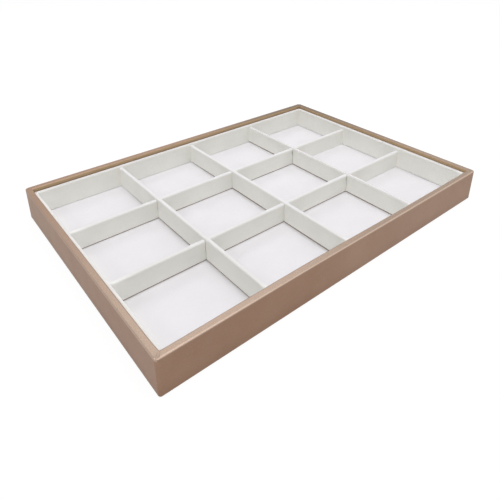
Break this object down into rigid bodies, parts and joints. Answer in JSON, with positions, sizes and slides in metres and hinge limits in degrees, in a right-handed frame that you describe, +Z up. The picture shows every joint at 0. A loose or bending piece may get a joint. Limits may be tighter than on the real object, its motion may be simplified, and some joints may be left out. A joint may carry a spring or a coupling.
{
  "type": "jewelry tray",
  "caption": "Open rectangular jewelry tray: a leatherette-wrapped board frame with lined walls and floor, and a lift-out lattice of half-lapped dividers that makes square compartments.",
  "frame": {"origin": "under the middle of the tray, on the surface it stands on", "axes": "+X along the tray's length, +Y towards its back long side, +Z up"},
  "size_m": [0.35, 0.24, 0.0312],
  "materials": {
    "taupe_leatherette": "taupe leatherette with a fine grain and a soft pearly sheen",
    "white_leatherette": "white leatherette with a fine grain, matt",
    "greyboard": "raw grey bookbinding board with cut edges",
    "fibreboard": "raw medium-density fibreboard",
    "underside_paper": "dark flocked cover paper"
  },
  "bodies": {
    "tray": {"front_rail": "fibreboard", "back_rail": "fibreboard", "left_rail": "fibreboard", "right_rail": "fibreboard", "base_board": "fibreboard", "outer_wrap": "taupe_leatherette", "underside_cover": "underside_paper", "floor_card": "greyboard", "floor_skin": "white_leatherette", "front_liner_card": "greyboard", "back_liner_card": "greyboard", "left_liner_card": "greyboard", "right_liner_card": "greyboard", "front_liner_skin": "white_leatherette", "back_liner_skin": "white_leatherette", "left_liner_skin": "white_leatherette", "right_liner_skin": "white_leatherette"},
    "lattice": {"long_divider_1_card": "greyboard", "long_divider_1_skin": "white_leatherette", "long_divider_2_card": "greyboard", "long_divider_2_skin": "white_leatherette"},
    "cross_divider_1": {"cross_divider_1_card": "greyboard", "cross_divider_1_skin": "white_leatherette"},
    "cross_divider_2": {"cross_divider_2_card": "greyboard", "cross_divider_2_skin": "white_leatherette"},
    "cross_divider_3": {"cross_divider_3_card": "greyboard", "cross_divider_3_skin": "white_leatherette"}
  },
  "joints": [
    {"name": "lattice_lift", "type": "slide", "parent": "tray", "child": "lattice", "axis": [0, 0, 1], "range_m": [0, 0.03]},
    {"name": "cross_divider_1_lift", "type": "slide", "parent": "lattice", "child": "cross_divider_1", "axis": [0, 0, 1], "range_m": [0, 0.03]},
    {"name": "cross_divider_2_lift", "type": "slide", "parent": "lattice", "child": "cross_divider_2", "axis": [0, 0, 1], "range_m": [0, 0.03]},
    {"name": "cross_divider_3_lift", "type": "slide", "parent": "lattice", "child": "cross_divider_3", "axis": [0, 0, 1], "range_m": [0, 0.03]}
  ]
}
